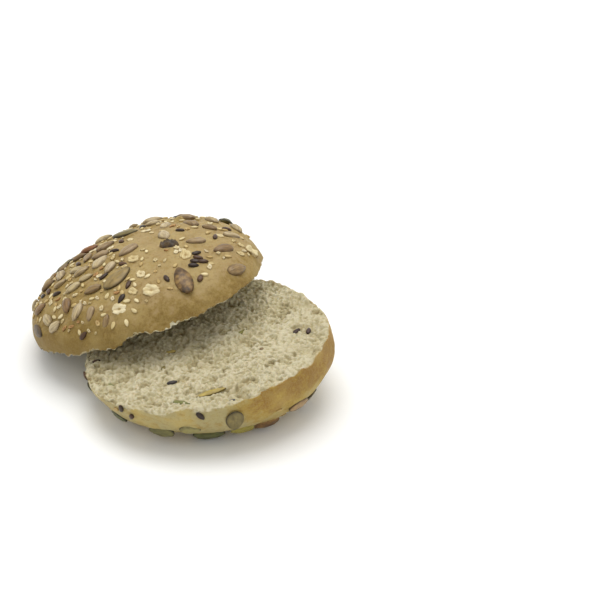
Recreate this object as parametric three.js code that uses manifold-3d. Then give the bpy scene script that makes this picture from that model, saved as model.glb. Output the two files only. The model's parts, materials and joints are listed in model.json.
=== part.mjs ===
// A seeded bread roll, sliced through and opened, in millimetres with +Z up.
// The roll is turned as one loaf and cut across at a slant. The lower half stands on its small
// flat foot, and the upper half leans against it with its back edge on the table.
// Kernels, seeds and flakes are baked into shallow pockets of the crust.
import * as THREE from "three";
import { mergeVertices } from "three/addons/utils/BufferGeometryUtils.js";
import Module from "manifold-3d";

const wasm = await Module();
wasm.setup();

// Driving dimensions of the loaf before it is cut.
const loaf = {
  radius: 56,
  height: 50,
  waist: 24, // height of the widest ring
  foot: 30, // radius of the flat spot underneath
  domeRoundness: 2.2, // superellipse power of the profile above the waist, 2 is an ellipse
  bellyRoundness: 1.8, // and below it
  sides: 72,
  domeRings: 11,
  bellyRings: 8,
};

// The hand-shaped outline seen from above, as shares of the radius.
const wobble = [
  { lobes: 2, share: 0.032, towards: -54 },
  { lobes: 3, share: 0.036, towards: -11 },
];

// The knife went in at a slant, so both halves are wedges. The upper half has sagged since it
// was cut, so its own face lies lower, most of all at +X.
const cut = { height: 24.7, slant: 8.8, lean: 0 };
const sagged = { height: 21.8, slant: 5.7, lean: -1.1 };

// Where the upper half lies: the place of the loaf's axis at the height of the cut.
const leaning = { x: -24.5, y: 40.3, z: 24.4, turn: -30, tilt: -18.1, nod: 1.6 };

const pocketGap = 0.35;
const restGap = 0.33; // between the upper half and the crumb that it presses down
const sunk = 0.38; // share of a seed's thickness that lies below the crust

// Each kind of seed: length, width and thickness of a middling one, and its colour. A low
// tip power is a full oval, and a high one draws the seed out to its points.
const kinds = {
  sunflower_kernel: { size: [10, 5.4, 3.4], tip: 0.6, color: 0x9c8a6c, roughness: 0.6 },
  pumpkin_seed: { size: [15, 8.4, 2.7], tip: 0.5, color: 0x77693a, roughness: 0.5 },
  oat_flake: { size: [7.2, 6, 1], color: 0xdccba0, roughness: 0.8 },
};

// Seeds on the dome: degrees round the loaf, distance from its axis, how far the pointed end
// is turned from straight downhill, and the seed's length.
const domeSpots = {
  sunflower_kernel: [
    [290, 10, -40, 10.6], [250, 19, 15, 10.2], [188, 16, 60, 10], [240, 27, -5, 8], [252, 36.5, 155, 8.2],
    [215, 43, 0, 8], [268, 47.5, -5, 9], [277, 48.5, -8, 7], [234, 49, -40, 8], [286.5, 51.5, -15, 6],
    [258, 45, 35, 8.5], [179, 29, 25, 9.5], [199, 38, 55, 6.5], [112, 31, -60, 10], [82, 34, -80, 9],
    [74, 19, 37, 8.5], [56, 29, -70, 9.8], [62, 41, -80, 9], [49, 49, -80, 9.6], [40, 36, -40, 8],
    [29, 45, 18, 8.3], [7, 31, 23, 9], [6, 43.5, 58, 10.2], [357, 52, 76, 10.6], [130, 44, 20, 9.4],
    [155, 33, 100, 10], [100, 46, -30, 8.8], [148, 50.5, 60, 9.8], [172, 47, -20, 9], [22, 15, 120, 9.6],
  ],
  pumpkin_seed: [
    [290, 32, -40, 15.1], [330, 45, 167, 15.4], [240, 54.6, 80, 10], [351, 21.5, 27, 9], [186, 43, 80, 13],
    [140, 18, 45, 14], [75, 52, 60, 14.4],
  ],
  oat_flake: [
    [304, 19, 30, 6.4], [293.5, 48.4, 76, 6.6], [312, 44, 62, 7.4], [346, 33, -46, 7], [120, 38, 0, 7.2],
    [20, 52.5, 20, 6.6],
  ],
};

// Seeds round the belly: degrees round the loaf, height, how far the pointed end is turned
// from straight uphill, and the seed's length.
const bellySpots = {
  pumpkin_seed: [
    [287, 16.5, -5, 12.4], [276, 4.4, 88, 13.6], [293.5, 6.6, 72, 10.5], [320, 13.5, 86, 11],
    [267, 12, 92, 9], [252, 8, 70, 13], [226, 7.5, 80, 11], [338, 7, 70, 12], [196, 9, 60, 13], [308.5, 5, 65, 12],
    [25, 12, 95, 14], [70, 7, 80, 13.4], [115, 13, 60, 15], [160, 9, 100, 12.6],
  ],
};

const radians = THREE.MathUtils.degToRad;
const zAxis = new THREE.Vector3(0, 0, 1);

// ---- solids -------------------------------------------------------------------------------

// A closed geometry as a solid that can be cut, in the frame of the matrix.
function solidOf(geometry, matrix = new THREE.Matrix4()) {
  const bare = geometry.clone().applyMatrix4(matrix);
  for (const name of ["normal", "uv"]) bare.deleteAttribute(name);
  const merged = mergeVertices(bare, 1e-4);
  return new wasm.Manifold(
    new wasm.Mesh({
      numProp: 3,
      vertProperties: merged.attributes.position.array,
      triVerts: new Uint32Array(merged.index.array),
    }),
  );
}

function geometryOf(solid) {
  const { vertProperties, triVerts } = solid.getMesh();
  const geometry = new THREE.BufferGeometry();
  geometry.setAttribute("position", new THREE.BufferAttribute(vertProperties, 3));
  geometry.setIndex(new THREE.BufferAttribute(triVerts, 1));
  geometry.computeVertexNormals();
  return geometry;
}

// ---- the loaf -----------------------------------------------------------------------------

// Half the loaf's outline, from the middle of the foot round to the top.
function loafProfile() {
  const { radius, height, waist, foot, domeRoundness, bellyRoundness } = loaf;
  const points = [new THREE.Vector2(0, 0)];
  for (let i = 0; i <= loaf.bellyRings; i++) {
    const angle = (i / loaf.bellyRings) * (Math.PI / 2);
    const out = Math.sin(angle) ** (2 / bellyRoundness);
    const up = 1 - Math.cos(angle) ** (2 / bellyRoundness);
    points.push(new THREE.Vector2(foot + (radius - foot) * out, waist * up));
  }
  for (let i = 1; i < loaf.domeRings; i++) {
    const angle = (i / loaf.domeRings) * (Math.PI / 2);
    const out = Math.cos(angle) ** (2 / domeRoundness);
    const up = Math.sin(angle) ** (2 / domeRoundness);
    points.push(new THREE.Vector2(radius * out, waist + (height - waist) * up));
  }
  points.push(new THREE.Vector2(0, height));
  return points;
}

// How far the outline stands out at an angle round the loaf, as a share of the round one.
function outline(angle) {
  return wobble.reduce(
    (sum, w) => sum + w.share * Math.cos(w.lobes * (angle - radians(w.towards))),
    1,
  );
}

function loafSolid() {
  const turned = new THREE.LatheGeometry(loafProfile(), loaf.sides).rotateX(Math.PI / 2);
  const place = turned.attributes.position;
  for (let i = 0; i < place.count; i++) {
    const share = outline(Math.atan2(place.getY(i), place.getX(i)));
    place.setXY(i, place.getX(i) * share, place.getY(i) * share);
  }
  return solidOf(turned);
}

// Everything above a cut.
function above({ height, slant, lean }, matrix) {
  const reach = 4 * loaf.radius;
  const block = new THREE.BoxGeometry(reach, reach, reach)
    .translate(0, 0, reach / 2)
    .rotateX(radians(lean))
    .rotateY(-radians(slant))
    .translate(0, 0, height);
  return solidOf(block, matrix);
}

// ---- seeds --------------------------------------------------------------------------------

// A seed lying along X with its point towards +X, flattened in Z.
function seedGeometry([length, width, thickness], tip) {
  const rings = 6;
  const points = [];
  for (let i = 0; i <= rings; i++) {
    const along = i / rings;
    const girth = Math.sin(Math.PI * along ** 0.8) ** tip;
    points.push(new THREE.Vector2(i % rings ? girth / 2 : 0, (0.5 - along) * length));
  }
  points.reverse();
  return new THREE.LatheGeometry(points, 8)
    .rotateZ(Math.PI / 2)
    .scale(1, width, thickness);
}

// A rolled flake: a thin plate with an uneven edge.
function flakeGeometry([length, width, thickness]) {
  const corners = 9;
  const shape = new THREE.Shape();
  for (let i = 0; i < corners; i++) {
    const angle = (i / corners) * 2 * Math.PI;
    const reach = 0.5 * (1 + 0.1 * Math.cos(3 * angle) + 0.07 * Math.sin(5 * angle));
    const x = reach * length * Math.cos(angle);
    const y = reach * width * Math.sin(angle);
    i ? shape.lineTo(x, y) : shape.moveTo(x, y);
  }
  return new THREE.ExtrudeGeometry(shape, { depth: thickness, bevelEnabled: false }).translate(
    0, 0, -thickness / 2,
  );
}

// A seed of one length and the slightly larger shape of its pocket.
function seedShapes({ size, tip }, length) {
  const grown = size.map((side) => (side * length) / size[0]);
  const make = tip ? seedGeometry : flakeGeometry;
  return {
    thickness: grown[2],
    seed: make(grown, tip),
    pocket: make(grown.map((side) => side + 2 * pocketGap), tip),
  };
}

// The crust's point and outward direction on the loaf's meridian: by distance from the axis on
// the dome, or by height on the belly.
function domePoint(distance) {
  const { radius, height, waist, domeRoundness: power } = loaf;
  const out = distance / radius;
  const up = (1 - out ** power) ** (1 / power);
  return {
    out: distance,
    up: waist + (height - waist) * up,
    normal: [out ** (power - 1) / radius, up ** (power - 1) / (height - waist)],
  };
}

function bellyPoint(heightAbove) {
  const { radius, waist, foot, bellyRoundness: power } = loaf;
  const down = 1 - heightAbove / waist;
  const out = (1 - down ** power) ** (1 / power);
  return {
    out: foot + (radius - foot) * out,
    up: heightAbove,
    normal: [out ** (power - 1) / (radius - foot), -(down ** (power - 1)) / waist],
  };
}

// The place of a seed on the crust, as a matrix: Z points out of the crust and X along the seed.
function seedMatrix(point, round, turn, lift) {
  const angle = radians(round);
  const spread = outline(angle);
  const outward = new THREE.Vector3(Math.cos(angle), Math.sin(angle), 0);
  const normal = outward.clone().multiplyScalar(point.normal[0]);
  normal.addScaledVector(zAxis, point.normal[1]).normalize();
  const across = new THREE.Vector3().crossVectors(normal, new THREE.Vector3(-outward.y, outward.x, 0));
  const slope = across.dot(outward) < 0 ? across.negate() : across;
  const side = new THREE.Vector3().crossVectors(zAxis, outward);
  const along = slope.multiplyScalar(Math.cos(radians(turn)));
  along.addScaledVector(side, Math.sin(radians(turn))).normalize();
  const matrix = new THREE.Matrix4().makeBasis(
    along, new THREE.Vector3().crossVectors(normal, along), normal,
  );
  const place = outward.multiplyScalar(point.out * spread).addScaledVector(zAxis, point.up);
  return matrix.setPosition(place.addScaledVector(normal, lift));
}

// Every seed of one half: its mesh, and its pocket as a solid in the loaf's frame.
function bakeSeeds(spots, pointAt, counts) {
  const seeds = [];
  for (const [kind, places] of Object.entries(spots)) {
    const { color, roughness } = kinds[kind];
    const material = new THREE.MeshStandardMaterial({ color, roughness, metalness: 0 });
    for (const [round, reach, turn, length] of places) {
      counts[kind] = (counts[kind] ?? 0) + 1;
      const { thickness, seed, pocket } = seedShapes(kinds[kind], length);
      const matrix = seedMatrix(pointAt(reach), round, turn, thickness * (0.5 - sunk));
      const mesh = new THREE.Mesh(seed, material);
      mesh.name = `${kind}_${String(counts[kind]).padStart(2, "0")}`;
      mesh.applyMatrix4(matrix);
      seeds.push({ mesh, pocket: solidOf(pocket, matrix) });
    }
  }
  return seeds;
}

// ---- assembly -----------------------------------------------------------------------------

// One half of the loaf with its seeds, still where it was baked.
function half(name, solid, seeds, color) {
  const pocketed = seeds.reduce((rest, seed) => rest.subtract(seed.pocket), solid);
  const material = new THREE.MeshStandardMaterial({ color, roughness: 0.75, metalness: 0 });
  const mesh = new THREE.Mesh(geometryOf(pocketed), material);
  mesh.name = name;
  return new THREE.Group().add(mesh, ...seeds.map((seed) => seed.mesh));
}

// From the loaf as it was baked to the upper half as it lies.
function leaningMatrix() {
  const { x, y, z, turn, tilt, nod } = leaning;
  const euler = new THREE.Euler(radians(nod), radians(tilt), radians(turn), "ZYX");
  const turned = new THREE.Matrix4().makeRotationFromEuler(euler).setPosition(x, y, z);
  return turned.multiply(new THREE.Matrix4().makeTranslation(0, 0, -cut.height));
}

const whole = loafSolid();
const opened = leaningMatrix();
const pressed = above({ ...sagged, height: sagged.height - restGap }, opened);
const counts = {};
const domeSeeds = bakeSeeds(domeSpots, domePoint, counts);
const bellySeeds = bakeSeeds(bellySpots, bellyPoint, counts);
const top = half("top_half", whole.intersect(above(sagged)), domeSeeds, 0xc4a46c);
const bottom = half("bottom_half", whole.subtract(above(cut)).subtract(pressed), bellySeeds, 0xd8c89c);
top.applyMatrix4(opened);

// The origin is under the middle of the whole object, on the table.
const roll = new THREE.Group().add(bottom, top);
const box = new THREE.Box3().setFromObject(roll, true);
const middle = box.getCenter(new THREE.Vector3());
roll.position.set(-middle.x, -middle.y, 0);

export default roll;
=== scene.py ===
import json
import random
from math import cos, exp, pi, radians, sin, sqrt

import bmesh
import bpy
from mathutils import Matrix, Vector, noise
from mathutils.bvhtree import BVHTree
from mathutils.kdtree import KDTree


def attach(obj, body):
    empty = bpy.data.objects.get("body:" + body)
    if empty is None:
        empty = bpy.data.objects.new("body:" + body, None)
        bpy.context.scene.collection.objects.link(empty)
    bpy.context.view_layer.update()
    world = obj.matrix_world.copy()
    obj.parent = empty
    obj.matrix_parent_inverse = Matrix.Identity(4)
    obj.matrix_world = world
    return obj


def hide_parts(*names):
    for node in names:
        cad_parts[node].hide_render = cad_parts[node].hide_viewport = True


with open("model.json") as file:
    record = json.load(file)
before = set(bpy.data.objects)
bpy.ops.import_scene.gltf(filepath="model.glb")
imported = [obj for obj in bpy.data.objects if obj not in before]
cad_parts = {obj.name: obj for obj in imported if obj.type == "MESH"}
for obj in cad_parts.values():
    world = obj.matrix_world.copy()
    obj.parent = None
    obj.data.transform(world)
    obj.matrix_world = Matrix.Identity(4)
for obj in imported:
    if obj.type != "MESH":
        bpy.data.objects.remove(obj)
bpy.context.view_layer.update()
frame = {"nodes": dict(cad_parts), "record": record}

mm = 0.001
up = Vector((0, 0, 1))
scene = bpy.context.scene
foot = Vector(frame["record"]["mounts"][0]["pos_m"])  # the middle of the flat spot the roll stands on


def linear(code):
    # sRGB hex to the linear colour that a socket takes
    channels = [int(code[i:i + 2], 16) / 255 for i in (1, 3, 5)]
    return [c / 12.92 if c <= 0.04045 else ((c + 0.055) / 1.055) ** 2.4 for c in channels] + [1]


def smooth(low, high, value):
    t = min(max((value - low) / (high - low), 0), 1)
    return t * t * (3 - 2 * t)


def addNode(tree, kind, inputs=None, output=0, stops=(), **settings):
    # one node with its settings and links; a hex text is a colour, and the asked output comes back
    node = tree.nodes.new("ShaderNode" + kind)
    for key, value in settings.items():
        setattr(node, key, value)
    for key, value in (inputs or {}).items():
        if isinstance(value, bpy.types.NodeSocket):
            tree.links.new(value, node.inputs[key])
        else:
            node.inputs[key].default_value = linear(value) if isinstance(value, str) else value
    for i, (position, code) in enumerate(stops):
        if i > 1:
            node.color_ramp.elements.new(1)
        node.color_ramp.elements[i].position = position
        node.color_ramp.elements[i].color = linear(code)
    return node.outputs[output]


def startMaterial(name, roughness, ior=1.45, specular=0.5):
    material = bpy.data.materials.new(name)
    material.use_nodes = True
    shader = material.node_tree.nodes["Principled BSDF"]
    shader.inputs["Roughness"].default_value = roughness
    shader.inputs["IOR"].default_value = ior
    shader.inputs["Specular IOR Level"].default_value = specular
    return material, material.node_tree, shader


def finishPiece(name, bm, material, nodes=()):
    mesh = bpy.data.meshes.new(name)
    bm.to_mesh(mesh)
    bm.free()
    mesh.materials.append(material)
    for face in mesh.polygons:
        face.use_smooth = True
    piece = bpy.data.objects.new(name, mesh)
    scene.collection.objects.link(piece)
    if nodes:
        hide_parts(*nodes)
    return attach(piece, "root")


view = {
    "distance": 800 * mm,
    "elevation": 30,
    "lens": 106,
    "target": (42.3 * mm, 41.1 * mm, 20 * mm),  # what it looks at, from the foot
}


def makeCamera():
    camera = bpy.data.objects.new("camera", bpy.data.cameras.new("camera"))
    scene.collection.objects.link(camera)
    camera.data.lens = view["lens"]
    camera.data.clip_start = 0.01
    tilt = radians(view["elevation"])
    back = Vector((0, -cos(tilt), sin(tilt)))
    camera.location = foot + Vector(view["target"]) + back * view["distance"]
    camera.rotation_euler = (pi / 2 - tilt, 0, 0)
    scene.camera = camera


studio = {
    "floorWidth": 6,
    "floor": "#f4f4f2",
    "sky": 0.84,
    "keyWidth": 0.8,
    "keyPlace": (0.03, 0.16, 0.9),
    "keyPower": 5.2,
}


def makeStudio():
    bm = bmesh.new()
    bmesh.ops.create_grid(bm, x_segments=1, y_segments=1, size=studio["floorWidth"] / 2)
    mesh = bpy.data.meshes.new("floor")
    bm.to_mesh(mesh)
    bm.free()
    # painted board: matt white with hardly a reflection
    material, tree, shader = startMaterial("mattWhitePaint", 0.9, specular=0.2)
    shader.inputs["Base Color"].default_value = linear(studio["floor"])
    mesh.materials.append(material)
    floor = bpy.data.objects.new("floor", mesh)
    scene.collection.objects.link(floor)
    world = bpy.data.worlds.new("studio")
    scene.world = world
    world.use_nodes = True
    world.node_tree.nodes["Background"].inputs["Color"].default_value = (1, 1, 1, 1)
    world.node_tree.nodes["Background"].inputs["Strength"].default_value = studio["sky"]
    key = bpy.data.objects.new("softbox", bpy.data.lights.new("softbox", "AREA"))
    key.data.shape = "DISK"
    key.data.size = studio["keyWidth"]
    key.data.energy = studio["keyPower"]
    key.location = studio["keyPlace"]
    key.rotation_euler = (-key.location).to_track_quat("-Z", "Y").to_euler()
    scene.collection.objects.link(key)
    scene.view_settings.view_transform = "Standard"


makeCamera()
makeStudio()
print("camera and studio")


# the baked bread; a pair without a note is (width of the lumps, height) in millimetres
crust = {
    "net": 0.8 * mm,  # size of the faces, halved on the crumb
    "facetSmoothing": 34,
    "paleBelow": 0.2,  # skin less browned than this has a rounded rim
    "roundFrom": (-2.5, 0.9),  # where the smoothing begins, from the rim: on pale and on brown skin
    "edge": (-0.3, 0.4),  # how the crumb turns into crust, over this many millimetres
    # on the dome the browning that this follows includes painted shade
    "brownEdge": 0.8,  # how much nearer to the rim the crust begins where it is brown
    "swell": (24, 0.5),
    "ripple": (9, 0.75),
    "blister": (2.4, 0.14),
    "collar": (1.2, 0.42),  # the dough that rose against a seed: how far out, how high
    "floorGap": 0.02 * mm,
}
crumb = {
    "wave": (19, 2.2),
    "clump": (7, 1.0),
    "tuft": (2.6, 0.7),
    "shred": (1.3, 1.1),
    "pull": (1.5, 0.55),  # how the torn shreds lean over
    "poreSpacing": 4.4,
    "poreSize": (0.16, 0.2),  # the middle size and how far it varies, as shares of the spacing
    "poreDepth": 0.9,
    "highest": 0.4,  # lumps are rounded off below this height
    "fineEdge": 0.4 * mm,  # the finest faces reach this far past the rim
    # where the relief is calmer, and by how much: at the rim, where the other half presses on it (by how
    # squarely a face looks along the cut), and at the back, where the knife cut cleaner (by Y)
    "rimCalm": 0.7,
    "pressed": (0.9, 0.99),
    "pressedCalm": 0.7,
    "back": (8, 36),
    "backCalm": 0.5,
    # painted shade: the colour darkens down the tufts and into the pores, and a little down the lumps, from
    # the darkest to the palest height
    "shade": (-2.5, 0.7),
    "lumpShade": 0.25,
}
# how the edge was torn, in millimetres: its waves and tears fade out over these distances from the rim
tornRim = {
    "reach": 12,  # nothing further away than this moves
    "waveFade": 5,
    "tearFade": 1.8,
    "tearSink": 0.3,
    "even": 0.85,  # how much less it is torn where it runs evenly
    "evenOver": 10,
}
knifeCut = {
    "merge": 0.02 * mm,  # vertices nearer than this are one
    "rimStep": 0.4 * mm,  # between the points that are kept along the rim
    "facing": 0.85,  # a face that looks along the cut's direction by more than this is part of the cut
}
halves = {
    "bottom_half": {
        "piece": "base_bread",
        "slot": "crumb",
        "sink": 0.8,  # how far the torn crumb lies below the knife's plane
        "rimWave": (11, 2.2),
        "rimTear": (2.8, 1.1),
        "rimSoft": 4,
        "evenFrom": 200,  # the rim runs evenly beyond this X, in millimetres
        "crustEnd": (1.2, 5, 2.6),  # how far below the rim the crust begins, its waves' width and height
        "fineCrumb": 200,  # how far from the rim the crumb has its finest faces
        "shift": 0,
    },
    "top_half": {
        "piece": "dome_bread",
        "slot": "crust",
        "sink": 1.3,
        "rimWave": (13, 3.4),
        "rimTear": (2.6, 1.3),
        "rimSoft": 2,
        "evenFrom": 22,
        "crustEnd": (-0.2, 4, 0.9),
        "fineCrumb": 12,
        "shift": 40,
    },
}


class HalfShape:
    # a CAD half without its pockets: its hull, which way its cut looks, and the line of its rim
    def __init__(self, name):
        hull = bmesh.new()
        for vertex in frame["nodes"][name].data.vertices:
            hull.verts.new(vertex.co)
        bmesh.ops.remove_doubles(hull, verts=hull.verts, dist=knifeCut["merge"])
        made = bmesh.ops.convex_hull(hull, input=hull.verts)
        inside = made["geom_interior"] + made["geom_unused"]
        spare = {g for g in inside if isinstance(g, bmesh.types.BMVert)}
        bmesh.ops.delete(hull, geom=list(spare), context="VERTS")
        hull.normal_update()
        self.hull = hull
        self.tree = BVHTree.FromBMesh(hull)
        flat = {}
        for face in hull.faces:
            flat.setdefault(tuple(round(c, 2) for c in face.normal), []).append(face)
        cut = max(flat.values(), key=lambda group: sum(f.calc_area() for f in group))
        self.normal = sum((f.normal * f.calc_area() for f in cut), Vector()).normalized()
        line = []
        for edge in hull.edges:
            if len({self.isCut(f.normal) for f in edge.link_faces}) == 2:
                first, last = (v.co for v in edge.verts)
                steps = max(int((last - first).length / knifeCut["rimStep"]), 1)
                line += [first.lerp(last, i / steps) for i in range(steps)]
        self.rim = KDTree(len(line))
        for i, place in enumerate(line):
            self.rim.insert(place, i)
        self.rim.balance()

    def isCut(self, normal):
        return normal.dot(self.normal) > knifeCut["facing"]

    def fromRim(self, place):
        # distance from the rim, negative on the cut face; and the face's direction
        normal = self.tree.find_nearest(place)[1]
        distance = self.rim.find(place)[2]
        return (-distance if self.isCut(normal) else distance), normal

    def net(self):
        # an even net of small faces over the hull
        mesh = bpy.data.meshes.new("net")
        self.hull.to_mesh(mesh)
        scratch = bpy.data.objects.new("net", mesh)
        scene.collection.objects.link(scratch)
        remesh = scratch.modifiers.new("net", "REMESH")
        remesh.mode = "VOXEL"
        remesh.voxel_size = crust["net"]
        bm = bmesh.new()
        bm.from_object(scratch, bpy.context.evaluated_depsgraph_get())
        bpy.data.objects.remove(scratch)
        return bm


def octave(point, setting, shift=0):
    # noise of one size in millimetres, from -height to height
    width, height = setting
    return noise.noise(point / (width * mm) + Vector((shift, 0, 0))) * height


def crustRelief(place, shift, seedTree):
    relief = octave(place, crust["swell"], shift) - 0.5 * crust["swell"][1]
    relief += octave(place, crust["ripple"], shift + 2) + octave(place, crust["blister"], shift + 4)
    width, height = crust["collar"]
    return relief + height * exp(-((seedTree.find_nearest(place)[3] / (width * mm)) ** 2))


def crumbRise(place, shift):
    # how far the torn crumb stands above its mean plane: first its lumps, then its tufts and pores
    lumps = octave(place, crumb["wave"], shift) + octave(place, crumb["clump"], shift + 3)
    tufts = 0.5 * crumb["tuft"][1] - abs(octave(place, crumb["tuft"], shift + 7)) * 2
    tufts += octave(place, crumb["shred"], shift + 11)
    cell = noise.voronoi(place / (crumb["poreSpacing"] * mm) + Vector((shift, 5, 0)))
    middle, varies = crumb["poreSize"]
    # where this comes out below nothing, the pore is as wide as its whole cell
    size = middle + varies * noise.cell(cell[1][0] * 7.3)
    return lumps, tufts - crumb["poreDepth"] * (1 - smooth(0.4 * size, size, cell[0][0]))


# distances from the rim and heights are in millimetres
browningAndShade = {
    "dome": 0.46,
    # the dome darkens towards its rim partly as a real golden band and partly as painted shade, where its
    # sides face away from the light
    "domeRimGoldAndShade": 0.42,  # more at the rim, within this band and its clouds
    "domeBand": (17, 2),
    "domeCloud": (13, 5),
    # painted shade: the dome darkens towards its -X end, the side that faces away from the light
    "domeEndShade": 0.3,  # more at the -X end
    "domeEndShadeAt": -50,
    # the lower half is golden on its +X side: where that begins and is full, as a share of its radius
    "side": (0.1, 0.62),
    "sideRadius": 56,
    "sideClouds": ((9, 0.2), (3.5, 0.1)),
    "sideBand": (19, 8),
    "sideBandCloud": (11, 6),
    "sideBelow": 0.35,  # what is left of the gold below that band
    "foot": 0.6,
    "footBand": (8, 1),
}


def browningAndShadeOf(name, place, out):
    # how brown the crust is: 0 pale, 1 golden brown; on the dome it also carries painted shade, darker
    # towards the rim and the -X end
    if name == "top_half":
        low = smooth(*browningAndShade["domeBand"], out / mm + octave(place, browningAndShade["domeCloud"]))
        end = smooth(0, browningAndShade["domeEndShadeAt"], place.x / mm)
        return browningAndShade["dome"] + browningAndShade["domeRimGoldAndShade"] * low + browningAndShade["domeEndShade"] * end
    side = (place.x - foot.x) / mm / browningAndShade["sideRadius"]
    side += sum(octave(place, cloud) for cloud in browningAndShade["sideClouds"])
    band = smooth(*browningAndShade["sideBand"], out / mm + octave(place, browningAndShade["sideBandCloud"]))
    below = browningAndShade["sideBelow"]
    gold = smooth(*browningAndShade["side"], side) * (below + (1 - below) * band)
    return max(gold, browningAndShade["foot"] * smooth(*browningAndShade["footBand"], place.z / mm))


def crumbMove(place, out, facing, setting, shape):
    # how a point of the crumb moves, in millimetres, and its painted shade, from 0, darkest deep in a pore,
    # to 1, unshaded
    shift = setting["shift"]
    calm = 1 - crumb["rimCalm"] * (1 - smooth(0, setting["rimSoft"] * mm, -out))
    calm *= 1 - crumb["pressedCalm"] * (1 - smooth(*crumb["pressed"], facing.dot(shape.normal)))
    calm *= 1 - crumb["backCalm"] * smooth(*crumb["back"], place.y / mm)
    lumps, tufts = crumbRise(place, shift)
    rise = (lumps + tufts - setting["sink"]) * calm
    if rise > 0:
        rise = crumb["highest"] * (1 - exp(-rise / crumb["highest"]))
    pull = Vector([octave(place, crumb["pull"], shift + 40 * i) for i in range(3)]) * calm
    return facing * rise + pull, smooth(*crumb["shade"], tufts + crumb["lumpShade"] * lumps)


def rimTear(place, out, setting):
    # how far the torn edge moves along the cut's direction, in millimetres
    away = out / mm
    if abs(away) >= tornRim["reach"]:
        return 0
    shift = setting["shift"]
    tear = octave(place, setting["rimWave"], shift + 26) * exp(-((away / tornRim["waveFade"]) ** 2))
    ragged = octave(place, setting["rimTear"], shift + 23) - tornRim["tearSink"]
    tear += ragged * exp(-((away / tornRim["tearFade"]) ** 2))
    return tear * (1 - tornRim["even"] * smooth(0, tornRim["evenOver"], place.x / mm - setting["evenFrom"]))


def makeHalf(name, setting, shape, seedTree):
    shift = setting["shift"]
    bm = shape.net()
    reach = {v: shape.fromRim(v.co)[0] for v in bm.verts}
    roundPale, roundBrown = crust["roundFrom"]
    baked = []
    for v in bm.verts:
        pale = browningAndShadeOf(name, v.co, 0) < crust["paleBelow"]
        if reach[v] > (roundPale if pale else roundBrown) * mm:
            baked.append(v)
    axes = {"use_axis_x": True, "use_axis_y": True, "use_axis_z": True}
    for _ in range(crust["facetSmoothing"]):
        bmesh.ops.smooth_vert(bm, verts=baked, factor=0.5, **axes)
    first, last = -setting["fineCrumb"] * mm, crumb["fineEdge"]
    edges = {e for f in bm.faces if all(first < reach[v] < last for v in f.verts) for e in f.edges}
    bmesh.ops.subdivide_edges(bm, edges=list(edges), cuts=1, use_grid_fill=True)
    bm.normal_update()
    skin = bm.verts.layers.float.new("skin")
    bakeAndShade = bm.verts.layers.float.new("bakeAndShade")
    paintedCrumbShade = bm.verts.layers.float.new("paintedCrumbShade")
    moves = []
    for v in bm.verts:
        place = v.co.copy()
        out, facing = shape.fromRim(place)
        v[bakeAndShade] = browningAndShadeOf(name, place, out)
        begin, width, height = setting["crustEnd"]
        begin += octave(place, (width, height), shift + 31)
        onCrust = smooth(*crust["edge"], out / mm - begin * (1 - crust["brownEdge"] * v[bakeAndShade]))
        v[skin] = onCrust
        v[paintedCrumbShade] = 1
        move = Vector()
        if onCrust > 0:
            move += v.normal * crustRelief(place, shift, seedTree) * onCrust
        if onCrust < 1:
            crumbStep, v[paintedCrumbShade] = crumbMove(place, out, facing, setting, shape)
            move += crumbStep * (1 - onCrust)
        move += shape.normal * rimTear(place, out, setting)
        moves.append(move * mm)
    for v, move in zip(bm.verts, moves):
        v.co += move
        v.co.z = max(v.co.z, crust["floorGap"])
    bmesh.ops.recalc_face_normals(bm, faces=bm.faces)
    print(name, sum(len(f.verts) - 2 for f in bm.faces), "triangles")
    return bm


# the crumb's own cream tone, ramped darker by painted shade from deep in the pores (0) to the tops of the
# tufts (1)
crumbColors = {
    "crumb": [(0.0, "#85714a"), (0.45, "#aa9d78"), (0.8, "#c4ba96"), (1.0, "#d4cbad")],
    "fleck": "#9c8858",
    "toned": "#b6a981",
}
breadColors = {
    "top_half": {
        "name": "goldenWheatCrust",
        **crumbColors,
        # the dome reaches the dark end of this ramp at its rim and its -X end, partly through painted shade
        "crust": [(0.0, "#a38c5a"), (0.5, "#988155"), (0.8, "#8b733b"), (1.0, "#7b6329")],
        "blotch": "#75592d",
        "dust": "#b39f70",
        "pale": "#a8945f",
    },
    "bottom_half": {
        "name": "paleWheatCrust",
        **crumbColors,
        "crust": [(0.0, "#a39668"), (0.35, "#a38e51"), (0.7, "#a08338"), (1.0, "#8b6728")],
        "blotch": "#866a34",
        "dust": "#c0b282",
        "pale": "#c0a75e",
    },
}


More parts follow.
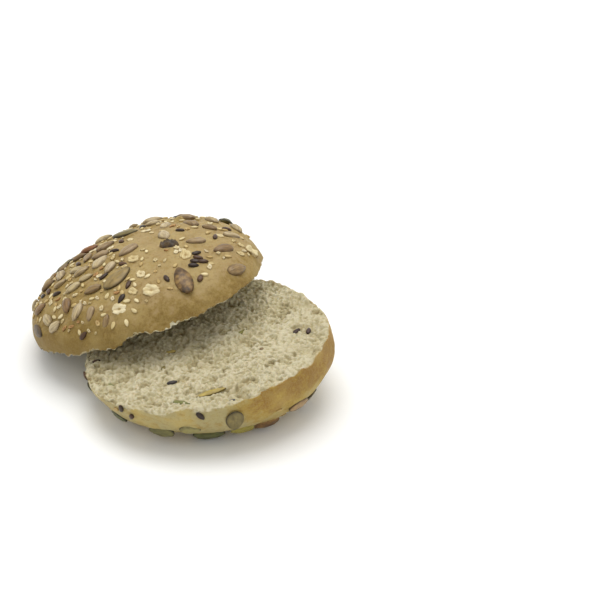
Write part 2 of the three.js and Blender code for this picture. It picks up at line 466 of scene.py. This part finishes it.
def breadMaterial(colors):
    # baked wheat dough: a matt, slightly translucent skin with golden mottling over open crumb
    material, tree, shader = startMaterial(colors["name"], 0.75, ior=1.42, specular=0.3)
    where = addNode(tree, "TexCoord", output="Object")
    skin = addNode(tree, "Attribute", output="Fac", attribute_name="skin")
    bakeAndShade = addNode(tree, "Attribute", output="Fac", attribute_name="bakeAndShade")
    paintedCrumbShade = addNode(tree, "Attribute", output="Fac", attribute_name="paintedCrumbShade")
    # clouds of browning 16 mm wide, mottling 4 mm, specks 1.4 mm and a flour-fine grain
    broad = addNode(tree, "TexNoise", {"Vector": where, "Scale": 1 / (16 * mm), "Detail": 4}, "Fac")
    settings = {"Vector": where, "Scale": 1 / (4 * mm), "Detail": 5, "Roughness": 0.65}
    mottle = addNode(tree, "TexNoise", settings, "Fac")
    speck = addNode(tree, "TexNoise", {"Vector": where, "Scale": 1 / (1.4 * mm), "Detail": 4}, "Fac")
    grain = addNode(tree, "TexNoise", {"Vector": where, "Scale": 1 / (0.6 * mm), "Detail": 3}, "Fac")

    # painted shade: the crumb darkens towards its pores and low places
    color = addNode(tree, "ValToRGB", {0: paintedCrumbShade}, stops=colors["crumb"])
    amount = addNode(tree, "MapRange", {0: speck, 1: 0.5, 2: 0.7, 4: 0.6})
    color = addNode(tree, "Mix", {0: amount, 6: color, 7: colors["fleck"]}, 2, data_type="RGBA")
    amount = addNode(tree, "MapRange", {0: broad, 1: 0.4, 2: 0.66, 4: 0.4})
    inside = addNode(tree, "Mix", {0: amount, 6: color, 7: colors["toned"]}, 2, data_type="RGBA")

    drift = addNode(tree, "MapRange", {0: mottle, 1: 0.3, 2: 0.7, 3: -0.34, 4: 0.34})
    # the crust's browning, which on the dome also carries painted shade
    baked = addNode(tree, "Math", {0: bakeAndShade, 1: drift}, operation="ADD")
    color = addNode(tree, "ValToRGB", {0: baked}, stops=colors["crust"])
    amount = addNode(tree, "MapRange", {0: mottle, 1: 0.48, 2: 0.75, 4: 0.5})
    color = addNode(tree, "Mix", {0: amount, 6: color, 7: colors["blotch"]}, 2, data_type="RGBA")
    amount = addNode(tree, "MapRange", {0: grain, 1: 0.35, 2: 0.75, 4: 0.22})
    color = addNode(tree, "Mix", {0: amount, 6: color, 7: colors["dust"]}, 2, data_type="RGBA")
    amount = addNode(tree, "MapRange", {0: broad, 1: 0.46, 2: 0.62, 4: 0.4})
    color = addNode(tree, "Mix", {0: amount, 6: color, 7: colors["pale"]}, 2, data_type="RGBA")
    amount = addNode(tree, "MapRange", {0: speck, 1: 0.54, 2: 0.72, 4: 0.45})
    outside = addNode(tree, "Mix", {0: amount, 6: color, 7: colors["blotch"]}, 2, data_type="RGBA")
    color = addNode(tree, "Mix", {0: skin, 6: inside, 7: outside}, 2, data_type="RGBA")
    tree.links.new(color, shader.inputs["Base Color"])

    # the crumb's fibres are finer than its faces; the skin has faint wrinkles
    settings = {"Vector": where, "Scale": 1 / (0.8 * mm), "Detail": 5, "Roughness": 0.75}
    fibre = addNode(tree, "TexNoise", settings, "Fac")
    torn = addNode(tree, "Bump", {"Height": fibre, "Strength": 0.9, "Distance": 0.9 * mm})
    wrinkled = addNode(tree, "Bump", {"Height": mottle, "Strength": 0.5, "Distance": 0.5 * mm})
    bump = addNode(tree, "Mix", {0: skin, 4: torn, 5: wrinkled}, 1, data_type="VECTOR")
    tree.links.new(bump, shader.inputs["Normal"])
    tree.links.new(addNode(tree, "MapRange", {0: skin, 3: 0.95, 4: 0.62}), shader.inputs["Roughness"])
    shader.inputs["Subsurface Weight"].default_value = 0.3
    shader.inputs["Subsurface Radius"].default_value = (1.0, 0.75, 0.45)
    shader.inputs["Subsurface Scale"].default_value = 1.4 * mm
    return material


# each kind of seed: its form, its tints, and tints of single seeds by their CAD number
kernels = {
    "around": 16,
    "along": 14,
    "widest": 0.42,  # this far along it, from the blunt end
    "bluntness": 2.2,  # power that shapes the other end
    "taper": (1.9, 0.75),  # powers that shape the pointed end
    "ribs": (8, 0.05),  # how many, how high
    "uneven": 0.13,
    "tints": ["#b3a17d", "#998360", "#bcab86", "#8c744d", "#a8946b", "#b6a57c", "#80673f"],
    "single": {12: "#8a5a2c", 9: "#8a6d47", 23: "#836842", 11: "#80633c"},
    # small ones without a CAD node: how many, from and to degrees, from and to distance from the axis
    "loose": [(80, 172, 258, 14, 53), (10, 258, 300, 22, 50), (8, 20, 172, 14, 50)],
    "length": (6.6, 9.2),
    "width": (0.48, 0.58),  # as shares of the length
    "thickness": 0.36,
}
pumpkinSeeds = {
    "around": 32,
    "rings": 14,
    "tints": ["#76693b", "#6a6638", "#7c6f42"],
    "single": {
        1: "#8c7643", 2: "#6b4f26", 3: "#564a38", 4: "#39332a", 8: "#776a3c", 9: "#5d6036", 10: "#94893f",
        11: "#a0835a", 12: "#8f8753", 14: "#565a33", 17: "#83603a",
    },
    "rim": 0.14,  # depth of the groove inside the rim
    "burnt": {2: 0.75, 4: 0.35, 3: 0.4, 17: 0.5},  # how blistered the roasted ones are
    # swollen ones, against their CAD size; and degrees that the loose ones lean out, to lie flatter
    "stretch": {4: (1, 1.2, 2.3), 8: (1.05, 1.2, 1), 9: (1, 1.15, 1.2), 13: (1, 1.15, 1.2)},
    "lean": {9: 24, 10: 30, 11: 10, 12: 22, 13: 24, 14: 16, 17: 34},
    # sliced by the knife: x, y, turn, length, width, tint, how deep they lie
    "cut": [
        (17, 2, 25, 6.5, 2.4, "#7d7a3c", 0.6), (6, -44, 12, 13, 3.4, "#ac9850", 0.45),
        (-6, -47.5, -20, 8.5, 2.8, "#737644", 0.25), (-38, -25, -5, 6.5, 2.4, "#8b8a58", 0.9),
        (-15, -18, 70, 5, 3, "#7b7144", 0.9), (-13, -7, 20, 5, 2.4, "#b09c56", 0.7),
        (-24, 32, 120, 9, 3, "#7a7640", 0.7),
    ],
    "cutThickness": 1.8,  # in millimetres
}
oatFlakes = {"around": 26, "rings": 10, "tints": ["#d3c69f", "#c8b88c", "#dbd0ae"], "single": {}}
linseeds = {
    "size": (4.9, 2.6, 1.6),  # length, width, thickness in millimetres
    "grow": (0.92, 1.08),  # each one is larger or smaller by a factor between these
    "around": 12,
    "rings": 6,
    "tints": ["#3b2b1f", "#4b3524", "#32261c", "#573d28"],
    # degrees round the roll, distance from its axis, turn
    "dome": [
        (37, 21, -30), (44, 41, -7), (352, 37, 60), (349, 39.5, 25), (345, 40.5, 35), (348, 43, 40),
        (341.5, 42, 45), (338, 49, 127), (323, 42, 0), (78, 17, -106), (60, 48, 28), (290, 21, 69),
        (274, 28, 150), (299, 37, -20), (295, 44, -34), (164, 10, 160), (241, 10, 128), (213, 27, 113),
        (223, 46, 108), (226, 43, 80), (238, 41, 129), (273, 53, 131), (118, 24, 40), (145, 40, -30),
        (95, 37, 80), (170, 38, 20), (205, 50, -70), (160, 52, 70), (85, 49, 10), (20, 37, 100),
    ],
    # degrees, height above the foot, turn
    "belly": [
        (235, 18, 160), (240, 15.5, 150), (272, 21, -155), (195, 14, 60), (150, 20, 20), (50, 18, 110),
    ],
    # uncovered by the knife: x, y, turn, length, width, tint, how deep they lie
    "cut": [
        (41, -3, 10, 4.8, 2.6, "#3a2b26", 0.1), (46, -4.5, 35, 4.6, 2.5, "#45342e", 0.3),
        (-11, -32, 20, 4.6, 2.6, "#37312f", 0.6), (15, -49.5, 0, 3.8, 2.2, "#4b4648", 0.9),
        (26, -15, 60, 4.2, 2.4, "#7d6a4c", 0.9), (-45, -7, 40, 4.6, 2.4, "#4c3a30", 0.6),
        (-8, 30, 80, 4.6, 2.4, "#3f2e28", 0.6), (2, 44, 15, 4.4, 2.4, "#43322c", 0.6),
    ],
    "cutThickness": 1.6,
}
sesame = {
    "size": (3.6, 2.2, 1.2),
    "grow": (0.82, 1.08),
    "around": 8,
    "rings": 6,
    "tints": ["#d0c193", "#bfa974", "#dacca2", "#b39a63", "#cab885"],
    # how many, from and to degrees, from and to distance from the axis or height above the foot
    "dome": [
        (320, 175, 265, 12, 53), (90, 262, 305, 14, 53), (26, 305, 360, 12, 50), (22, 0, 70, 12, 50),
        (110, 70, 175, 10, 54),
    ],
    "belly": [(10, 0, 360, 3, 18)],
}
chips = {
    "around": 9,
    "rings": 5,
    "tints": ["#d3c69f", "#c8b88c", "#dacfae", "#c2aa78", "#d6caa6", "#b48f63"],
    # flakes of oat that have their own place: degrees, distance, turn, length
    "dome": [
        (309, 33, 20, 5.4), (302, 42, 40, 4.8), (350, 30, 60, 3.4), (25, 38, 0, 4.6), (11, 49, 30, 4),
        (101, 13, 80, 5), (15, 14, 0, 3.6), (21, 47, 30, 3.4), (102, 27, 0, 4), (144, 7, 30, 3.8),
        (70, 37, 10, 5.6), (345, 29, 130, 3.2), (350, 27, 20, 3), (230, 33, 10, 3.6), (184, 24, 60, 4.2),
        (135, 36, 0, 5), (165, 20, 80, 4.4), (200, 12, 20, 3.6),
    ],
    "broad": 0.75,  # their width as a share of the length
    "thickness": 0.8,
    # small broken ones
    "loose": [(190, 175, 300, 10, 53), (34, 305, 430, 10, 51), (40, 70, 175, 10, 52)],
    "ragged": 0.6,
    "length": (1.3, 3.4),
    "width": (0.5, 0.9),  # as shares of the length
}
planting = {
    "ownHalf": 3 * mm,  # a CAD seed belongs to the half that it is nearer to than this
    "room": 0.4,  # a seed keeps the others away by this share of its length
    "sunk": 0.3,  # how deep it lies, as a share of its thickness
    "aimFrom": 0.1,  # the place on the bread is looked for from this far away, in metres
    "grainStep": 3.7,  # how far the pattern moves from one seed to the next, in millimetres
    # the dark edge is partly the seed's own darker rim and partly painted shade where the seed meets the
    # crust
    "edge": (0.05, 0.32),  # heights over a seed's middle plane where its dark edge fades
}
# where the upper half lies, measured from the foot; the knife passed the roll's axis at this height
rollPose = {"middle": (-24.5, 40.3, 24.4), "turn": -30, "tilt": -18.1, "nod": 1.6, "knife": 24.7}


def formOf(name, bm):
    mesh = bpy.data.meshes.new(name)
    bm.to_mesh(mesh)
    bm.free()
    return mesh


def kernelForms(style, count=5):
    # blunt at one end, pointed at the other, with ribs along it; unit length along X
    forms = []
    widest = style["widest"]
    power, fullness = style["taper"]
    ribs, ribHeight = style["ribs"]
    for number in range(count):
        drift = Vector((number * 5, 0, 0))
        bm = bmesh.new()
        bmesh.ops.create_uvsphere(bm, u_segments=style["around"], v_segments=style["along"], radius=0.5)
        bmesh.ops.rotate(bm, verts=bm.verts, matrix=Matrix.Rotation(pi / 2, 3, "Y"))
        for v in bm.verts:
            along = v.co.x + 0.5
            ring = sqrt(max(0.25 - v.co.x ** 2, 0))
            if ring < 1e-3:
                continue
            if along < widest:
                girth = sqrt(1 - ((widest - along) / widest) ** style["bluntness"])
            else:
                girth = (1 - ((along - widest) / (1 - widest)) ** power) ** fullness
            around = Vector((v.co.y, v.co.z)).angle(Vector((1, 0)))
            girth *= 1 + ribHeight * cos(ribs * around) + style["uneven"] * noise.noise(v.co * 3 + drift)
            v.co.y *= 0.5 * girth / ring
            v.co.z *= 0.5 * girth / ring
        forms.append(formOf("kernelForm", bm))
    return forms


def lensForms(style, groove=0.0, point=0.35, wrinkle=0.0, count=3):
    # an oval lens lying flat, pointed towards +X, with a groove inside its rim
    forms = []
    for number in range(count):
        drift = Vector((number * 5, 0, 0))
        bm = bmesh.new()
        bmesh.ops.create_uvsphere(bm, u_segments=style["around"], v_segments=style["rings"], radius=0.5)
        for v in bm.verts:
            ring = min(2 * sqrt(v.co.x ** 2 + v.co.y ** 2), 1)
            crown = sqrt(max(1 - ring ** 3, 0)) - groove * exp(-(((ring - 0.8) / 0.08) ** 2))
            folds = wrinkle * (1 - 3 * abs(noise.noise(v.co * 4 + drift)))
            crown *= 1 + 0.2 * noise.noise(v.co * 3 + drift) + folds
            if abs(v.co.z) > 1e-5:
                v.co.z = 0.5 * crown * (1 if v.co.z > 0 else -1)
            v.co.y *= (1 - point * (v.co.x + 0.5) ** 2) * (1 + 0.12 * noise.noise(v.co * 2 + drift))
        forms.append(formOf("lensForm", bm))
    return forms


def flakeForms(style, ragged=0.26, count=4):
    # a rolled oat: a thin dished plate with an uneven edge, a crease down the middle and curling sides
    forms = []
    for number in range(count):
        bm = bmesh.new()
        bmesh.ops.create_uvsphere(bm, u_segments=style["around"], v_segments=style["rings"], radius=0.5)
        for v in bm.verts:
            ring = min(2 * sqrt(v.co.x ** 2 + v.co.y ** 2), 1)
            flat = Vector((v.co.x, v.co.y, 0))
            way = flat.normalized()
            edge = noise.noise(way * 2.2 + Vector((9 + number * 5, 0, 0)))
            edge += 0.5 * noise.noise(way * 6 + Vector((3, number * 5, 0)))
            crown = sqrt(max(1 - ring ** 8, 0))
            if v.co.z > 1e-5:
                dish = 0.45 + 0.55 * smooth(0.1, 0.75, ring)
                crease = 0.4 * exp(-((v.co.y / 0.05) ** 2)) * (1 - ring)
                crown *= dish + 0.3 * noise.noise(flat * 5 + up * number * 5)
                crown -= crease
            if abs(v.co.z) > 1e-5:
                v.co.z = 0.5 * crown * (1 if v.co.z > 0 else -1)
            v.co.x *= 1 + ragged * ring * edge
            v.co.y *= 1 + ragged * ring * edge
            v.co.z += 1.1 * ring ** 2 * noise.noise(flat * 2.5 + Vector((number * 5, 4, 0)))
        forms.append(formOf("flakeForm", bm))
    return forms


class SeedBed:
    # one piece that many seeds are planted in
    def __init__(self):
        self.bm = bmesh.new()
        self.grain = self.bm.verts.layers.float_vector.new("grain")
        self.tint = self.bm.verts.layers.float_color.new("tint")
        self.edge = self.bm.verts.layers.float.new("edge")
        self.count = 0

    def plant(self, forms, matrix, size, tint, burnt=0):
        # size in metres; the grain is where a point lies in its own seed, in millimetres
        form = forms[self.count % len(forms)]
        self.count += 1
        color = linear(tint)[:3] + [burnt]
        self.bm.from_mesh(form)
        self.bm.verts.ensure_lookup_table()
        made = self.bm.verts[-len(form.vertices):]
        for v in made:
            place = Vector([c * s / mm for c, s in zip(v.co, size)])
            v[self.grain] = place + up * self.count * planting["grainStep"]
            v[self.tint] = color
            # darker near the middle plane: partly the seed's own rim, partly painted shade where it meets the
            # crust
            v[self.edge] = 1 - smooth(*planting["edge"], abs(v.co.z))
        bmesh.ops.transform(self.bm, matrix=matrix @ Matrix.Diagonal((*size, 1)), verts=made)


def span(points, middle, axis):
    steps = [(p - middle).dot(axis) for p in points]
    return min(steps), max(steps)


def seedFrame(node, crustTree):
    # a CAD seed's axes and size, read from its own mesh: X to its point, Z out of the crust
    points = [v.co for v in node.data.vertices]
    middle = sum(points, Vector()) / len(points)
    out = crustTree.find_nearest(middle)[1]
    far = max((p - middle for p in points), key=lambda d: d.length_squared)
    long = (far - out * far.dot(out)).normalized()
    low, high = span(points, middle, long)
    if -low > high:
        long.negate()
    side = out.cross(long)
    sizes = [high - low for low, high in (span(points, middle, axis) for axis in (long, side, out))]
    centre = middle.copy()
    for axis in (long, side, out):
        low, high = span(points, middle, axis)
        centre += axis * (low + high) / 2
    matrix = Matrix((long, side, out)).transposed().to_4x4()
    matrix.translation = centre
    return matrix, sizes


def cadSeeds(prefix, forms, style, half, others):
    # every CAD seed of one kind on one half, as one detailed piece; others are forms for single numbers
    bed, used = SeedBed(), []
    for name in sorted(n for n in frame["nodes"] if n.startswith(prefix)):
        node = frame["nodes"][name]
        number = int(name[-2:])
        if shapes[half].tree.find_nearest(node.data.vertices[0].co)[3] > planting["ownHalf"]:
            continue
        matrix, sizes = seedFrame(node, shapes[half].tree)
        sizes = [s * grow for s, grow in zip(sizes, style.get("stretch", {}).get(number, (1, 1, 1)))]
        lean = radians(style.get("lean", {}).get(number, 0)) * (-1 if matrix.col[1].z > 0 else 1)
        matrix = matrix @ Matrix.Rotation(lean, 4, "X")
        tint = style["single"].get(number, style["tints"][number % len(style["tints"])])
        bed.plant(others.get(number, forms), matrix, sizes, tint, style.get("burnt", {}).get(number, 0))
        used.append(name)
    return bed, used


def rollFrames():
    # from the roll as it was baked to where each half lies now
    lower = Matrix.Translation(foot)
    turned = Matrix.Rotation(radians(rollPose["turn"]), 4, "Z")
    turned = turned @ Matrix.Rotation(radians(rollPose["tilt"]), 4, "Y")
    turned = turned @ Matrix.Rotation(radians(rollPose["nod"]), 4, "X")
    down = Matrix.Translation((0, 0, -rollPose["knife"] * mm))
    upper = lower @ Matrix.Translation(Vector(rollPose["middle"]) * mm) @ turned @ down
    return {"bottom_half": lower, "top_half": upper}


def spotOn(half, region, azimuth, reach):
    # a point of the baked surface, and the crust's and the axis's directions there
    # on the dome by angle and distance from the axis, on the belly by angle and height, on the cut by x and y
    angle = radians(azimuth)
    outward = Vector((cos(angle), sin(angle), 0))
    if region == "dome":
        start, aim = outward * reach * mm + up * planting["aimFrom"], -up
    elif region == "belly":
        start, aim = outward * planting["aimFrom"] + up * reach * mm, -outward
    else:
        start, aim = Vector((azimuth * mm, reach * mm, planting["aimFrom"])), -up
    matrix = rollFrames()[half]
    hit = breadTrees[half].ray_cast(matrix @ start, matrix.to_3x3() @ aim)[0]
    if hit is None:
        return None
    out = shapes[half].tree.find_nearest(hit)[1]
    return hit, out, (matrix.to_3x3() @ outward).normalized()


def seedMatrix(hit, out, outward, turn, lift):
    # Z out of the crust, X turned from downhill
    side = out.cross(outward).normalized()
    slope = side.cross(out).normalized()
    long = slope * cos(radians(turn)) + side * sin(radians(turn))
    matrix = Matrix((long, out.cross(long), out)).transposed().to_4x4()
    matrix.translation = hit + out * lift
    return matrix


taken = []  # (place, radius) of every small seed so far


def isFree(place, radius):
    if seedTree.find_nearest(place)[3] < radius:
        return False
    return all((place - other).length > radius + reach for other, reach in taken)


def sow(bed, forms, half, region, azimuth, reach, turn, size, tint,
        room=planting["room"], sunk=planting["sunk"]):
    # plants one seed where there is room for it; size in millimetres
    spot = spotOn(half, region, azimuth, reach)
    if spot is None or not isFree(spot[0], size[0] * room * mm):
        return
    matrix = seedMatrix(*spot, turn, size[2] * mm * (0.5 - sunk))
    bed.plant(forms, matrix, [s * mm for s in size], tint)
    taken.append((spot[0], size[0] * room * mm))


def scatter(bed, forms, half, region, field, pick, draws, sunk=planting["sunk"]):
    # so many seeds at random in a ring sector; pick gives a size and a tint
    count, first, last, low, high = field
    for _ in range(count):
        reach = draws.uniform(low ** 2, high ** 2) ** 0.5
        size, tint = pick(draws)
        azimuth = draws.uniform(first, last)
        turn = draws.uniform(0, 360)
        sow(bed, forms, half, region, azimuth, reach, turn, size, tint, sunk=sunk)


# each seed coat: the record's slot, its gloss, the scale of its streaks per millimetre along, across and
# through it, the colour that they and the edge are multiplied by, how much, and the relief in millimetres
# the darker edge is partly the seed's own rim colour and partly painted shade where the seed meets the crust
coats = {
    "kernels": {
        "name": "huskedSunflowerKernel",  # dull grey-beige with fine ribs
        "slot": "sunflower_kernel",
        "roughness": 0.4,
        "specular": 0.5,
        "streaks": (0.25, 1.5, 1),
        "dark": "#7a5f38",
        "streakDark": 0.7,
        "edgeDarkAndShade": 0.5,
        "relief": 0.35 * mm,
    },
    "pumpkin": {
        "name": "roastedPumpkinSeed",  # olive with a soft sheen and a dark rim
        # its dark rim is partly its own colour and partly painted shade where it meets the crust
        "slot": "pumpkin_seed",
        "roughness": 0.42,
        "specular": 0.45,
        "streaks": (0.3, 0.6, 0.6),
        "dark": "#5d5230",
        "streakDark": 0.6,
        "edgeDarkAndShade": 0.9,
        "relief": 0.25 * mm,
    },
    "oats": {
        # its brown edge is partly its own toasting and partly painted shade where it meets the crust
        "name": "rolledOat",  # chalky cream with a brown edge
        "slot": "oat_flake",
        "roughness": 0.85,
        "specular": 0.2,
        "streaks": (0.5, 1.6, 1),
        "dark": "#a98b55",
        "streakDark": 0.5,
        "edgeDarkAndShade": 0.85,
        "relief": 0.2 * mm,
    },
    "linseeds": {
        "name": "linseedCoat",  # polished dark brown
        "slot": "pumpkin_seed",
        "roughness": 0.3,
        "specular": 0.35,
        "streaks": (0.4, 1.2, 1),
        "dark": "#6b5548",
        "streakDark": 0.5,
        "edgeDarkAndShade": 0.5,
        "relief": 0.05 * mm,
    },
    "sesame": {
        "name": "sesameCoat",  # pale satin
        "slot": "oat_flake",
        "roughness": 0.5,
        "specular": 0.35,
        "streaks": (0.4, 1.2, 1),
        "dark": "#a98d58",
        "streakDark": 0.5,
        "edgeDarkAndShade": 0.7,
        "relief": 0.05 * mm,
    },
}


def seedMaterial(coat):
    # a seed coat: its own tint, darker streaks along it and a fine relief
    material, tree, shader = startMaterial(coat["name"], coat["roughness"], specular=coat["specular"])
    grain = addNode(tree, "Attribute", output="Vector", attribute_name="grain")
    tint = addNode(tree, "Attribute", output="Color", attribute_name="tint")
    burnt = addNode(tree, "Attribute", output="Alpha", attribute_name="tint")
    border = addNode(tree, "Attribute", output="Fac", attribute_name="edge")
    stretched = addNode(tree, "Mapping", {"Vector": grain, "Scale": coat["streaks"]})
    streak = addNode(tree, "TexNoise", {"Vector": stretched, "Scale": 1, "Detail": 4}, "Fac")
    patch = addNode(tree, "TexNoise", {"Vector": grain, "Scale": 0.4, "Detail": 4}, "Fac")
    darken = {"data_type": "RGBA", "blend_type": "MULTIPLY"}
    amount = addNode(tree, "MapRange", {0: streak, 1: 0.4, 2: 0.75, 4: coat["streakDark"]})
    color = addNode(tree, "Mix", {0: amount, 6: tint, 7: coat["dark"]}, 2, **darken)
    lighten = {"data_type": "RGBA", "blend_type": "SOFT_LIGHT"}
    amount = addNode(tree, "MapRange", {0: patch, 1: 0.42, 2: 0.7, 4: 0.35})
    color = addNode(tree, "Mix", {0: amount, 6: color, 7: "#e0d4b0"}, 2, **lighten)
    # partly painted shade: the seed darkens towards its edge, where it meets the crust, over its own darker
    # rim
    amount = addNode(tree, "MapRange", {0: border, 4: coat["edgeDarkAndShade"]})
    color = addNode(tree, "Mix", {0: amount, 6: color, 7: coat["dark"]}, 2, **darken)
    # blisters of a seed that was roasted too long: dark with golden scraps
    scorch = [(0.38, "#33240f"), (0.5, "#614620"), (0.64, "#8f713c")]
    blister = addNode(tree, "ValToRGB", {0: patch}, stops=scorch)
    color = addNode(tree, "Mix", {0: burnt, 6: color, 7: blister}, 2, data_type="RGBA")
    tree.links.new(color, shader.inputs["Base Color"])
    bump = addNode(tree, "Bump", {"Height": streak, "Strength": 0.6, "Distance": coat["relief"]})
    tree.links.new(bump, shader.inputs["Normal"])
    return material


shapes = {name: HalfShape(name) for name in halves}
kernel = kernelForms(kernels)
pumpkinSeed = lensForms(pumpkinSeeds, groove=pumpkinSeeds["rim"])
wrinkled = lensForms(pumpkinSeeds, wrinkle=0.8, point=0.1)
flake = flakeForms(oatFlakes)
beds = []
for half, side in (("top_half", "dome"), ("bottom_half", "base")):
    for kind, prefix, forms, style, others in (
        ("kernels", "sunflower_kernel", kernel, kernels, {}),
        ("pumpkin", "pumpkin_seed", pumpkinSeed, pumpkinSeeds, {4: wrinkled}),
        ("oats", "oat_flake", flake, oatFlakes, {}),
    ):
        bed, used = cadSeeds(prefix, forms, style, half, others)
        if used:
            beds.append((f"{side}_{kind}", kind, bed, used))
            print(side, kind, len(used))

planted = bmesh.new()
for _, _, bed, _ in beds:
    scratch = formOf("scratch", bed.bm.copy())
    planted.from_mesh(scratch)
    bpy.data.meshes.remove(scratch)
seedTree = BVHTree.FromBMesh(planted)
planted.free()

breadTrees = {}
for name, setting in halves.items():
    bm = makeHalf(name, setting, shapes[name], seedTree)
    breadTrees[name] = BVHTree.FromBMesh(bm)
    finishPiece(setting["piece"], bm, breadMaterial(breadColors[name]), [name])

draws = random.Random(7)
linseed = lensForms(linseeds)
sesameSeed = lensForms(sesame, point=0.5)
chip = flakeForms(chips, chips["ragged"])


def pickKernel(draws):
    length = draws.uniform(*kernels["length"])
    width = length * draws.uniform(*kernels["width"])
    return (length, width, length * kernels["thickness"]), draws.choice(kernels["tints"])


def pickSesame(draws):
    grow = draws.uniform(*sesame["grow"])
    return [s * grow for s in sesame["size"]], draws.choice(sesame["tints"])


def pickChip(draws):
    length = draws.uniform(*chips["length"])
    width = length * draws.uniform(*chips["width"])
    return (length, width, chips["thickness"]), draws.choice(chips["tints"])


def sowCut(bed, forms, style):
    # the seeds that the knife uncovered in the lower half
    for x, y, turn, length, width, tint, sunk in style["cut"]:
        size = (length, width, style["cutThickness"])
        sow(bed, forms, "bottom_half", "cut", x, y, turn, size, tint, room=0.2, sunk=sunk)


for half, side, region in (("top_half", "dome", "dome"), ("bottom_half", "base", "belly")):
    bed = SeedBed()
    for i, (azimuth, reach, turn) in enumerate(linseeds[region]):
        size = [s * draws.uniform(*linseeds["grow"]) for s in linseeds["size"]]
        tint = linseeds["tints"][i % len(linseeds["tints"])]
        sow(bed, linseed, half, region, azimuth, reach, turn, size, tint, room=0.25)
    if half == "bottom_half":
        sowCut(bed, linseed, linseeds)
    beds.append((f"{side}_linseeds", "linseeds", bed, []))
    bed = SeedBed()
    if half == "top_half":
        palest = chips["tints"][:3]
        for i, (azimuth, reach, turn, length) in enumerate(chips["dome"]):
            size = (length, length * chips["broad"], chips["thickness"])
            sow(bed, flake, half, region, azimuth, reach, turn, size, palest[i % len(palest)], room=0.3)
        loose = SeedBed()
        for field in kernels["loose"]:
            scatter(loose, kernel, half, region, field, pickKernel, draws)
        beds.append((f"{side}_looseKernels", "kernels", loose, []))
        for field in chips["loose"]:
            scatter(bed, chip, half, region, field, pickChip, draws, sunk=0.2)
        beds.append((f"{side}_flakes", "oats", bed, []))
    else:
        sowCut(bed, pumpkinSeed, pumpkinSeeds)
        beds.append((f"{side}_cutSeeds", "pumpkin", bed, []))
    bed = SeedBed()
    for field in sesame[region]:
        scatter(bed, sesameSeed, half, region, field, pickSesame, draws)
    beds.append((f"{side}_sesame", "sesame", bed, []))

skins = {kind: seedMaterial(coat) for kind, coat in coats.items()}
for name, kind, bed, used in beds:
    print(name, bed.count)
    bmesh.ops.recalc_face_normals(bed.bm, faces=bed.bm.faces)
    finishPiece(name, bed.bm, skins[kind], used)
